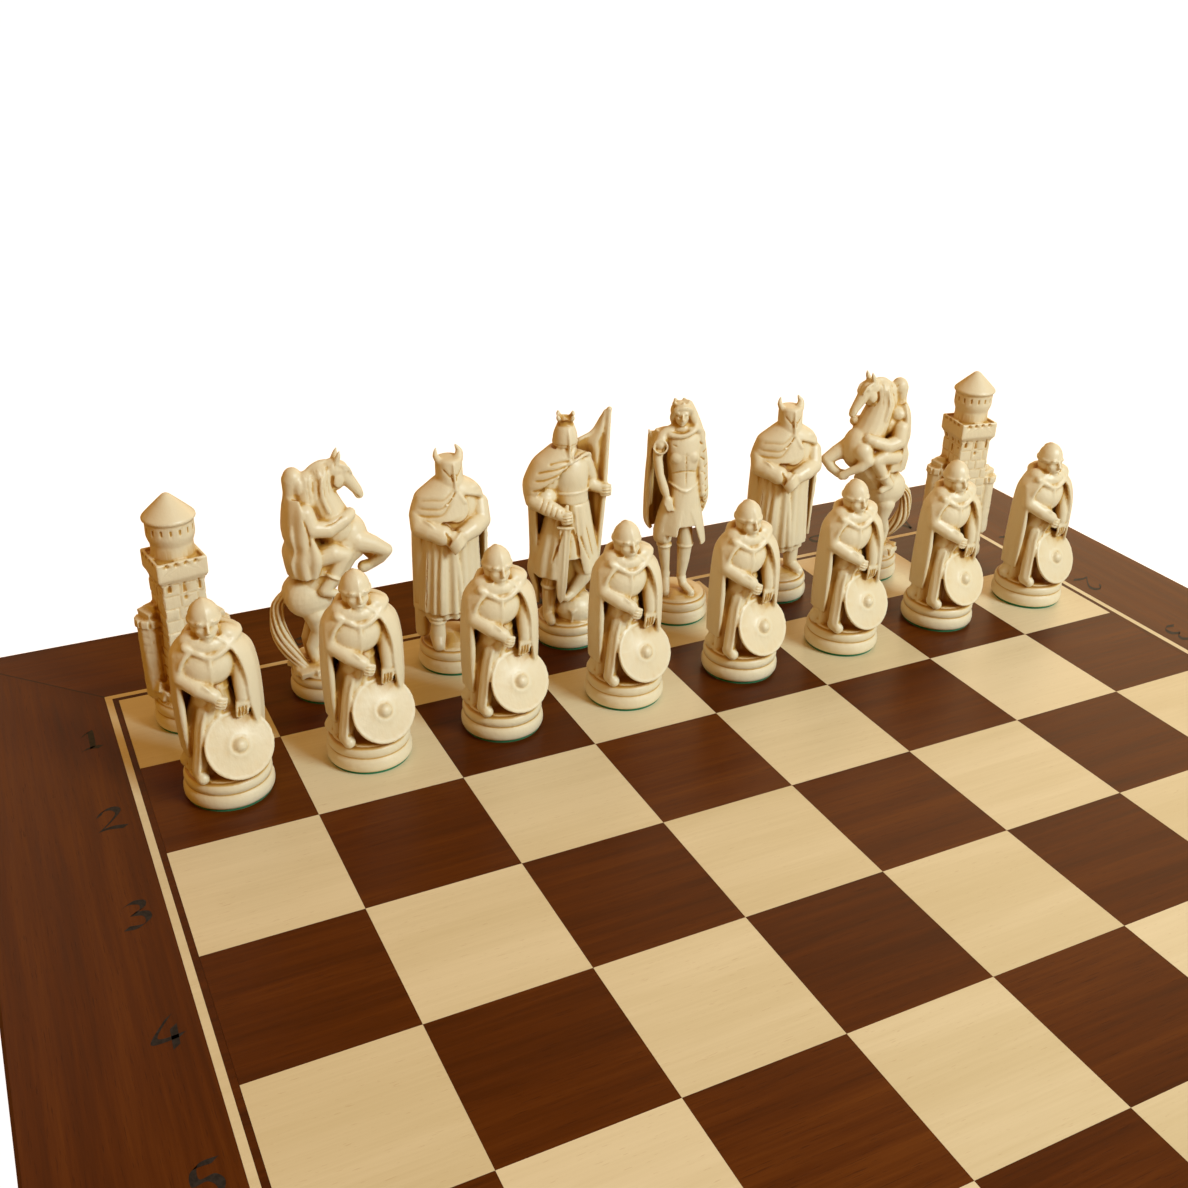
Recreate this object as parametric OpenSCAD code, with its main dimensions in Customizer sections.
// Chess set: a framed veneered board with two armies of carved chessmen.
// Origin: centre of the board's underside. +Z is up, +X runs from the h file to the a file,
// and +Y runs towards the light army. Every length is in millimetres.

/* [Board] */
// Side of one square
square = 50; // [44:1:60]
// Width that the dark border takes off the outer squares
edge_trim = 2; // [1:0.5:4]
// Width of the pale line inlaid round the field
line_w = 2.5; // [1.5:0.5:4]
// Width of one rail of the frame
rail_w = 47.5; // [30:0.5:60]
// Thickness of the frame
rail_t = 14; // [12:0.5:20]
// Thickness of each sheet of veneer
veneer = 0.6; // [0.4:0.1:1]
// Thickness of the baize glued under the board
baize_t = 1; // [0.5:0.1:2]

/* [Chessmen] */
// Radius of a pawn's turned base
pawn_base_r = 14.8; // [12:0.1:16]
// Radius of an officer's turned base
officer_base_r = 13.7; // [12:0.1:16]
// Height of a turned base with its felt
base_h = 10.4; // [9:0.1:12]
// Thickness of the felt disc under a man
felt_t = 1; // [0.5:0.1:1.5]
// Height of a pawn
pawn_h = 72; // [60:0.5:80]
// Height of a rook
rook_h = 87.5; // [75:0.5:95]
// Height of a bishop
bishop_h = 89.5; // [75:0.5:97]
// Height of a knight
knight_h = 94.5; // [80:0.5:102]
// Height of a queen
queen_h = 95.5; // [80:0.5:103]
// Height of a king with his standard
king_h = 97; // [82:0.5:105]

/* [Layout] */
// Distance from the board's edge to the dark pawns that stand in front of it
dark_gap = 32; // [20:1:60]
// Distance between the dark army's two rows
dark_pitch = 46; // [36:1:60]

/* [Hidden] */
// Plan of the board
files = 8;
band_half = files / 2 * square;
field_half = band_half - edge_trim;
line_half = band_half + line_w;
board_half = line_half + rail_w;
// Levels of the board
core_z = baize_t + veneer;
top_z = baize_t + rail_t;
core_top = top_z - veneer;
mid_z = baize_t + rail_t / 2;
// Joints of the board
joint = 0.05;
tongue_t = 5;
tongue_l = 6;
arris = 1;
spline_l = 34;
spline_w = 14;
spline_t = 3;
baize_inset = 2;
// Fits of the chessmen
glue = 0.05;
stand_gap = 0.02;
felt_inset = 0.9;
sink = 0.6;
// Colours
ivory = [0.93, 0.85, 0.66];
stained = [0.24, 0.13, 0.07];
maple = [0.90, 0.82, 0.64];
mahogany = [0.33, 0.16, 0.09];
green = [0.10, 0.36, 0.20];

// Names of the men, from the h file to the a file
letters = "hgfedcba";
kinds = ["rook", "knight", "bishop", "king", "queen", "bishop", "knight", "rook"];
function officer_name(i) = i == 3 || i == 4 ? kinds[i] : str(kinds[i], "_", letters[i]);
men = concat([for (i = [0:7]) officer_name(i)], [for (i = [0:7]) str("pawn_", letters[i])]);
// Turn of each officer about the vertical, and how far each man stands off his square's centre
officer_turn = [8.5, 0, -3, -10, -14, -15, 180, -9];
officer_off = [[0.5, 1], [0, 1.5], [0.5, 1.5], [0, 1.5], [0, 1.5], [0, 1.5], [0, 2.5], [0, 3.5]];
pawn_off = [[2.5, 2], [1, 3], [0.5, 2], [0.5, 2.5], [1, 1.5], [0.5, 2.5], [0.5, 3], [1, 3.5]];

// The board

// Panel that carries the veneers, with a tongue all round for the frame's groove
module core_panel() {
    color("burlywood") {
        translate([-line_half, -line_half, core_z])
            cube([2 * line_half, 2 * line_half, core_top - core_z]);
        translate([-line_half - tongue_l, -line_half - tongue_l, mid_z - tongue_t / 2])
            cube([2 * (line_half + tongue_l), 2 * (line_half + tongue_l), tongue_t]);
    }
}

// Veneer under the panel, which keeps it flat
module balancing_veneer() {
    color(mahogany)
        translate([-line_half, -line_half, baize_t])
            cube([2 * line_half, 2 * line_half, veneer]);
}

// Side lines of the squares: the outer squares are cut back by the border
function line_at(i) = max(-field_half, min(field_half, (i - files / 2) * square));

// The squares of one wood: odd squares are pale, because h1 at the far left is pale
module squares(odd) {
    for (i = [0:files - 1], j = [0:files - 1])
        if ((i + j) % 2 == odd)
            translate([line_at(i) + joint / 2, line_at(j) + joint / 2, core_top])
                cube([line_at(i + 1) - line_at(i) - joint, line_at(j + 1) - line_at(j) - joint, veneer]);
}

module light_squares() {
    color(maple) squares(1);
}

module dark_squares() {
    color(mahogany) squares(0);
}

// Four strips of veneer round the field, mitred at the corners
module mitred_strips(inner, outer) {
    for (side = [0:3])
        rotate([0, 0, 90 * side])
            translate([0, 0, core_top])
                linear_extrude(veneer)
                    polygon([[inner - joint, inner], [outer - joint, outer],
                             [joint - outer, outer], [joint - inner, inner]]);
}

module dark_border() {
    color(mahogany) mitred_strips(field_half + joint, band_half);
}

module pale_line() {
    color(maple) mitred_strips(band_half + joint, line_half - joint);
}

// One mitred rail of the frame, along the far side before it is turned
module rail(turn) {
    groove_l = tongue_l + 0.3;
    groove_t = tongue_t + 0.1;
    color(mahogany)
        rotate([0, 0, turn])
            difference() {
                intersection() {
                    linear_extrude(top_z)
                        polygon([[line_half, line_half], [board_half, board_half],
                                 [-board_half, board_half], [-line_half, line_half]]);
                    rotate([90, 0, -90])
                        translate([0, 0, -board_half])
                            linear_extrude(2 * board_half)
                                polygon([[-line_half, baize_t], [-line_half, top_z],
                                         [arris - board_half, top_z], [-board_half, top_z - arris],
                                         [-board_half, baize_t + arris], [arris - board_half, baize_t]]);
                }
                translate([-line_half - groove_l, 0, mid_z - groove_t / 2])
                    cube([2 * (line_half + groove_l), line_half + groove_l, groove_t]);
                for (s = [-1, 1])
                    spline_at(s, joint);
            }
}

// A loose tongue across one mitre of the far rail, grown by a clearance for its slot
module spline_at(s, grow) {
    c = (line_half + board_half) / 2 + 2;
    translate([s * c, c, mid_z])
        rotate([0, 0, s * 45])
            cube([spline_l + 2 * grow, spline_w + 2 * grow, spline_t + 2 * grow], center = true);
}

module mitre_splines() {
    color("burlywood")
        for (side = [0:3])
            rotate([0, 0, 90 * side]) spline_at(1, 0);
}

module underside_baize() {
    w = 2 * (board_half - baize_inset);
    color(green)
        translate([-w / 2, -w / 2, 0])
            cube([w, w, baize_t]);
}

// Helpers for carved forms

function unit(v) = v / norm(v);

// One ring of a stacked form: s = [z, centre x, centre y, half width, half depth]
function flat_ring(s, n) =
    [for (i = [0:n - 1])
        [s[1] + s[3] * cos(360 * i / n), s[2] + s[4] * sin(360 * i / n), s[0]]];

// One ring of a limb: p = [x, y, z, radius], square to the direction t
function round_ring(p, t, n) =
    let (u = unit(cross(t, [0.3, 1, 0.1])), v = cross(t, u))
    [for (i = [0:n - 1])
        [p[0], p[1], p[2]] + p[3] * (cos(360 * i / n) * u + sin(360 * i / n) * v)];

function xyz(p) = [p[0], p[1], p[2]];

// Skin over a list of rings that climb, with flat ends
module skin(rings) {
    n = len(rings[0]);
    m = len(rings);
    polyhedron(
        [for (r = rings) each r],
        concat(
            [[for (j = [0:n - 1]) j]],
            [for (i = [0:m - 2], j = [0:n - 1]) [i * n + j, (i + 1) * n + j, (i + 1) * n + (j + 1) % n]],
            [for (i = [0:m - 2], j = [0:n - 1]) [i * n + j, (i + 1) * n + (j + 1) % n, i * n + (j + 1) % n]],
            [[for (j = [n - 1:-1:0]) (m - 1) * n + j]]));
}

// A body or a garment: flat rings from the lowest to the highest
module stack(sections, n = 8) {
    skin([for (s = sections) flat_ring(s, n)]);
}

// An arm, a leg, a tail or a pole: a round form along its points
module limb(path, n = 6) {
    last = len(path) - 1;
    skin([for (i = [0:last])
        round_ring(path[i], unit(xyz(path[min(i + 1, last)]) - xyz(path[max(i - 1, 0)])), n)]);
}

// A hand, a boot's toe or a rock
module lump(c, r, n = 6) {
    translate(c) scale(r) sphere(1, $fn = n);
}

// The turned base, in two tiers
module turned_base(r) {
    rotate_extrude($fn = 64)
        polygon([[0, felt_t], [r - 0.8, felt_t], [r - 0.2, felt_t + 0.9], [r, felt_t + 2.4],
                 [r - 0.2, felt_t + 3.9], [r - 0.7, felt_t + 4.9], [r - 1.3, felt_t + 5.3],
                 [r - 1.3, felt_t + 5.9], [r - 0.7, felt_t + 6.4], [r - 0.5, felt_t + 7.5],
                 [r - 0.8, base_h - 0.5], [r - 1.6, base_h], [0, base_h]]);
}

module felt_disc(r) {
    cylinder(h = felt_t - glue, r = r - felt_inset, $fn = 64);
}

// A carving brought to its exact height above the base that it grows from
module carving(height) {
    translate([0, 0, base_h - sink])
        resize([0, 0, height - base_h + sink])
            translate([0, 0, sink - base_h])
                children();
}

// The carvings, each facing the viewer along -Y, with heights counted from the felt

// Kneeling man-at-arms with a round shield
module pawn_carving() {
    stack([[base_h - sink, -0.5, -0.5, 12.2, 11.6], [11.6, -0.5, -0.5, 11, 10.4]]);
    stack([[11, -1, 0, 9, 7.5], [22, -1, -0.5, 9.4, 7.8], [34, -0.6, -1, 7.8, 6]]);
    stack([[16, 0, 2.5, 12.2, 8.2], [27, 0, 2.3, 12.8, 8.8], [40, -0.2, 2, 12.8, 8],
           [50, -0.5, 1.4, 12, 6.8], [55, -0.8, 0.8, 8.6, 5.4], [59, -1, 0, 5, 4.6]]);
    stack([[31, -0.6, -1.5, 6.6, 5], [40, -0.6, -2.4, 7.6, 5.8], [48, -0.6, -2.6, 8.6, 6.2],
           [55, -0.8, -1.4, 6.5, 4.6]]);
    limb([[-9.5, 0.5, 51.5, 3.6], [-10.2, -3.5, 42.5, 3.2], [-3.4, -8.2, 36, 2.5]], 5);
    limb([[8.6, 0.3, 51.5, 3.5], [9.2, -2.6, 43, 3], [5.2, -8.4, 34.6, 2.2]], 5);
    limb([[-4.5, -4, 31, 4.2], [-6.3, -7.6, 24, 3.6], [-7.4, -8.8, 11, 2.8]]);
    limb([[-7, 2, 23, 3.2], [-11.5, 5.5, 16, 2.6], [-11, 3, 10.6, 2.2]], 5);
    stack([[56, -1.3, -1.4, 3.2, 3.4], [61, -1.5, -1.6, 4.4, 4.6], [64.4, -1.3, -1, 4.8, 5],
           [64.6, -1.4, -1.2, 6.2, 6.6], [66, -1.3, -0.8, 5.9, 6.2], [69, -1.2, 0, 4.4, 4.5],
           [72, -1.1, 0.5, 0.7, 0.7]]);
    translate([3.6, -9.4, 22.2]) rotate([74, 0, 8]) {
        cylinder(h = 2, r = 11.5, center = true, $fn = 12);
        cylinder(h = 3.6, r1 = 2.4, r2 = 1.6, $fn = 6);
    }
    translate([-6.6, -9.8, 24.4]) rotate([0, 13, 0]) cube([3, 1.3, 25], center = true);
}

// Round-topped keep with a square parapet and two flanking towers
module rook_carving() {
    w = 7.3;
    translate([0, 0, base_h - sink]) cylinder(h = 3, r1 = 12.2, r2 = 11, $fn = 24);
    translate([0, 0, 11])
        linear_extrude(50, scale = 0.93) square(2 * w + 1.4, center = true);
    translate([0, 0, 56]) linear_extrude(4.6, scale = 1.3) square(2 * w - 0.6, center = true);
    difference() {
        translate([-8.9, -8.9, 60.5]) cube([17.8, 17.8, 5.6]);
        translate([-7.7, -7.7, 64]) cube([15.4, 15.4, 3]);
        for (t = [0, 90], i = [-1.5:1:1.5])
            rotate([0, 0, t]) translate([4.2 * i, 0, 65.4]) cube([1.3, 20, 2], center = true);
    }
    rotate_extrude($fn = 48)
        polygon([[0, 63], [6.4, 63], [6.2, 69.4], [7.6, 71.4], [7.9, 72.2], [8.2, 73], [8.2, 78.6],
                 [9.4, 79], [9.3, 79.6], [0.5, rook_h - 0.2], [0, rook_h]]);
    flank([-10.2, 2.6], 3.8, 42, 47);
    flank([10.2, -2.6], 3.8, 38, 43.5);
}

// A round tower with a pointed roof that leans on the keep
module flank(at, r, eave, tip) {
    translate([at[0], at[1], 0])
        rotate_extrude($fn = 32)
            polygon([[0, 11], [r - 0.6, 11], [r, 16], [r, eave - 3], [r + 0.7, eave - 2],
                     [r + 0.7, eave], [0, tip]]);
}

// Standing man in a horned great helm, cloak and pleated robe
module bishop_carving() {
    stack([[base_h - sink, 0, 0, 11.8, 11.8], [12, 0, 0.4, 10.6, 10]], 10);
    stack([[27.6, -0.3, -0.6, 12.6, 9.4], [40, -0.3, -0.6, 11.2, 8.2], [54, -0.3, -0.4, 10.2, 7],
           [64, -0.3, 0, 11, 7]], 10);
    stack([[25.6, 0, 4.2, 15, 6.6], [45, 0, 4, 14.8, 6.8], [62, 0, 2.6, 15, 7.2],
           [68.5, -0.2, 1.4, 13.4, 6.6], [73, -0.5, 0.4, 6.6, 5]], 10);
    stack([[61.5, -0.6, -1, 13.8, 8.2], [67.5, -0.5, -0.8, 13.2, 7.8], [72, -0.6, -0.4, 8, 6.2],
           [75, -0.7, -0.4, 4.8, 4.6]], 10);
    limb([[-12, -1, 65, 3.8], [-13, -3.4, 57.4, 3.7], [-4, -9.6, 56.6, 2.8]]);
    limb([[12, -1, 65, 3.8], [12.6, -3.4, 57.6, 3.6], [2, -9.8, 57.4, 2.7]]);
    lump([-1.8, -10, 56.2], [3.8, 2.2, 2.8]);
    limb([[-6, -1.6, 28, 3.8], [-6.4, -2.6, 14, 3.2]]);
    limb([[-6.2, -1.6, 12.6, 2.8], [-8, -9.6, 12.2, 2.2]]);
    limb([[5.4, 0.6, 28, 3.8], [6, 0.4, 14, 3.2]]);
    limb([[6, 1.4, 12.6, 2.8], [8.6, -6.4, 12.2, 2.2]]);
    stack([[73, -0.8, -1.2, 3.4, 3.8], [76.4, -0.8, -1.6, 4.8, 5.4], [81, -0.8, -1.2, 5.2, 5.6],
           [85.6, -0.8, -0.8, 5, 5.3], [86.8, -0.8, -0.8, 4, 4.3]]);
    for (s = [-1, 1])
        limb([[s * 3.8 - 0.8, -1, 84, 1.7], [s * 4.8 - 0.8, -1, 87.4, 1.1], [s * 4.2 - 0.8, -1, 89.5, 0.35]], 5);
}

// King with a crowned helm, a cloak, a sword and a standard on a pole
module king_carving() {
    stack([[base_h - sink, 0, 0, 11.8, 11.8], [12, 0, 0.4, 10.6, 10]], 10);
    stack([[30, -0.4, -0.8, 12, 8.6], [42, -0.6, -0.8, 9.8, 7.2], [54, -0.8, -0.8, 7.6, 6.2],
           [62, -0.9, -0.8, 6.6, 5.6], [70, -1, -1, 8.2, 6], [77, -1.1, -0.4, 6, 4.8],
           [80, -1.2, 0, 3.4, 3.4]], 10);
    stack([[15, -7, 5.6, 7.2, 3], [34, -6.6, 5.6, 8.8, 4], [50, -7.2, 4.6, 9.2, 5.6],
           [64, -7.6, 2.2, 9.4, 7], [71, -6.2, 0.8, 9, 7], [77, -3, 0.2, 6.4, 5.6]], 10);
    stack([[40, 4.4, 5.4, 7.2, 2.4], [60, 4, 4.6, 7, 2.8], [74, 3, 2.6, 6.4, 3.6]]);
    limb([[-13.2, -1, 69, 4], [-15, -4, 62.6, 3.8], [-5.6, -9.4, 57, 2.8]]);
    limb([[6, -0.6, 72, 3.8], [10.4, -2, 65.4, 3.2], [14.4, -1.4, 63, 2.6]]);
    lump([14.6, -0.6, 62.6], [2.8, 2.8, 2.6]);
    limb([[11.6, 1.8, 10.6, 1.5], [16.6, 1.8, 96.2, 1.5], [16.7, 1.8, 97, 0.8]], 6);
    translate([0, 4, 0]) rotate([90, 0, 0]) linear_extrude(1.8)
        polygon([[3, 34], [13, 32], [16.6, 95], [14.4, 90], [10.6, 86], [6, 83.6], [2, 82.6]]);
    limb([[-6.4, -1, 32, 3.8], [-7.4, -2, 22, 3.2], [-8.4, -3, 12.6, 3]]);
    limb([[-8.6, -3, 13, 2.6], [-10, -9, 12.4, 2.1]]);
    limb([[3.4, -2, 32, 3.8], [4.2, -6.2, 27, 3.2], [2.4, -6, 20.6, 2.8]]);
    limb([[2.4, -4, 21, 2.6], [0.8, -10, 20.4, 2]]);
    lump([2.8, -5.4, 14.4], [6.8, 5.6, 5.8], 8);
    limb([[-4.4, -9.4, 57, 1.2], [-10, -7.6, 33, 1]], 4);
    stack([[78, -1.3, -2.6, 2.8, 3.4], [82, -1.3, -0.6, 4.5, 5], [86, -1.3, -0.2, 4.9, 5.1],
           [90, -1.3, 0.3, 4, 4.2], [92, -1.3, 0.5, 3.3, 3.4], [95.6, -1.3, 0.5, 4.2, 4.2]]);
}

// Queen in a corset and a short skirt, with a long braid, a quiver and a cape
module queen_carving() {
    stack([[base_h - sink, 0, 0, 11.8, 11.8], [13, -1, 0.4, 10.4, 9.8]], 10);
    stack([[40, -0.4, -0.4, 11.2, 8], [50, -1, -0.4, 9.6, 7], [58, -1.8, -0.4, 7.2, 5.8],
           [62, -2.2, -0.6, 6.2, 5.2], [70, -2.2, -1.2, 7.4, 5.8], [77, -2.2, -0.2, 8.4, 4.6],
           [80.5, -2, 0, 5, 3.6], [84, -1.8, 0, 2.5, 2.6]], 10);
    stack([[43, -9.4, 4, 5.4, 3], [60, -9.2, 3.6, 5.4, 3.4], [74, -7.4, 2.6, 5.6, 3.4],
           [80, -4.6, 1.8, 3.6, 2.6]]);
    limb([[-13.2, 3.6, 62, 2.3], [-13, 3.6, 83.4, 2.8]]);
    limb([[-9.6, 0, 77, 3.2], [-12, -1.6, 66.4, 2.7], [-10.4, -5.6, 56, 2.3]]);
    limb([[5.4, 0.4, 77, 3.2], [8.6, 0, 66.4, 2.7], [8, -3, 56, 2.3]]);
    limb([[3, 3, 90, 3.6], [7.6, 3, 80, 3.2], [11, 1.6, 66, 2.9], [12.4, -0.4, 50, 2]]);
    limb([[-6, -1.4, 42, 4.2], [-7.8, -2.4, 30, 3], [-8.8, -3, 15, 2.3]]);
    limb([[-8.8, -2.4, 14.6, 2.3], [-10, -9, 13.8, 1.8]]);
    limb([[3.6, -1, 42, 4.2], [4, -1.8, 30, 3], [4, -2, 14, 2.3]]);
    limb([[4, -1.4, 12.8, 2.3], [3.6, -9, 12.2, 1.8]]);
    stack([[82.6, -1.7, -0.8, 2.4, 3], [86, -1.7, -0.4, 3.6, 4], [89.4, -1.6, 0.2, 4.2, 4.6],
           [92.6, -1.4, 0.4, 3.4, 3.8], [93, -1.4, 0, 3, 3.2], [95.5, -1.4, -0.6, 2.4, 2.4]]);
}

// Rearing horse and its rider, looking along +X
module knight_carving() {
    stack([[base_h - sink, 0, 0, 11.8, 11.8], [13, -1, 0, 9.6, 9.8], [15.4, -1.6, 0, 7.4, 7.8]], 10);
    limb([[-5, 0, 31, 5], [-6, 0, 37, 8.4], [-4, 0, 45, 8.6], [1, 0, 54, 8.2], [6.6, 0, 62, 8.2],
          [9.6, 0, 68, 6.6], [9.4, 0, 72, 3.8]], 8);
    limb([[5.6, 0, 64, 7], [4.6, 0, 73, 6.4], [5, 0, 82, 5], [7.4, 0, 90, 3.6], [8.4, 0, 92, 2]], 8);
    limb([[6, 0, 89.4, 3.2], [9, 0, 86.6, 4.2], [13, 0, 80.6, 2.9], [16.4, 0, 76.4, 2.2]]);
    for (s = [-1, 1]) {
        limb([[8, s * 2, 90, 1.2], [9.6, s * 2.2, 94.5, 0.3]], 4);
        limb([[9.4, s * 4.4, 61, 3.8], [17, s * 4.6, 58, 2.9], [25, s * 4.4, 54.4, 2.1]], 5);
        limb([[25.2, s * 4.4, 55.6, 2], [21.6, s * 4.2, 49.6, 1.7], [18.4, s * 4, 46, 2.2]], 5);
        limb([[-4, s * 4.4, 36, 5.6], [-9.4, s * 4.8, 26, 3], [-8, s * 4.8, 20, 2.2], [-5, s * 4.8, 13.4, 2.6]], 5);
        limb([[-5, s * 5.6, 77.6, 3], [0.6, s * 7.6, 69, 2.6], [8.4, s * 5.2, 72, 2.2]], 5);
        limb([[-3, s * 6.4, 57, 3.8], [4, s * 8.2, 52, 3.2], [2.6, s * 8, 43, 2.4]], 5);
        limb([[1.8, s * 8, 42.4, 2.2], [6, s * 8, 40.2, 1.7]], 5);
    }
    stack([[47, -8.8, 0, 3.6, 6.6], [58, -7.4, 0, 5.4, 7.6], [70, -6.8, 0, 5.8, 7.4],
           [79, -6.4, 0, 5.2, 6.2], [83, -6.4, 0, 3.2, 3.6]]);
    stack([[81.4, -6.4, 0, 3.2, 3.4], [86, -6.2, 0, 4, 4], [90, -6, 0, 2.2, 2.4]]);
    limb([[-11, -0.5, 44, 2.2], [-15.6, -2.6, 39.6, 3], [-16.6, -6, 29, 3.2], [-12.6, -9, 18, 2.8],
          [-7, -11, 11.4, 1.6]]);
}

module carving_of(kind) {
    if (kind == "pawn") carving(pawn_h) pawn_carving();
    if (kind == "bishop") carving(bishop_h) bishop_carving();
    if (kind == "king") carving(king_h) king_carving();
    if (kind == "queen") carving(queen_h) queen_carving();
    if (kind == "knight") carving(knight_h) knight_carving();
    if (kind == "rook") rook_carving();
}

// The men, numbered as in the list of names: eight officers, then eight pawns

function kind_of(k) = k < 8 ? kinds[k] : "pawn";
function base_r(k) = k < 8 ? officer_base_r : pawn_base_r;
function file_x(k) = (k % 8 - files / 2 + 0.5) * square;
function light_turn(k) = k < 8 ? officer_turn[k] : 0;
function light_off(k) = k < 8 ? officer_off[k] : pawn_off[k - 8];
function light_y(k) = (files / 2 - (k < 8 ? 0.5 : 1.5)) * square;
function dark_y(k) = -board_half - dark_gap - (k < 8 ? dark_pitch : 0);

module light_place(k) {
    off = light_off(k);
    translate([file_x(k) + off[0], light_y(k) + off[1], top_z + stand_gap])
        rotate([0, 0, light_turn(k)])
            children();
}

module man(kind, r) {
    turned_base(r);
    carving_of(kind);
}

module light_man(k) {
    color(ivory) light_place(k) man(kind_of(k), base_r(k));
}

module light_felt(k) {
    color(green) light_place(k) felt_disc(base_r(k));
}

// The dark men stand on the table in front of the board and look at the light men
module dark_man(k) {
    translate([file_x(k), dark_y(k), 0])
        rotate([0, 0, 180]) {
            color(stained) man(kind_of(k), base_r(k));
            color(green) felt_disc(base_r(k));
        }
}

core_panel();
balancing_veneer();
light_squares();
dark_squares();
dark_border();
pale_line();
rail(0);  // rail_far
rail(90);  // rail_left
rail(180);  // rail_near
rail(270);  // rail_right
mitre_splines();
underside_baize();
for (k = [0:15]) {
    light_man(k);
    light_felt(k);
    dark_man(k);
}
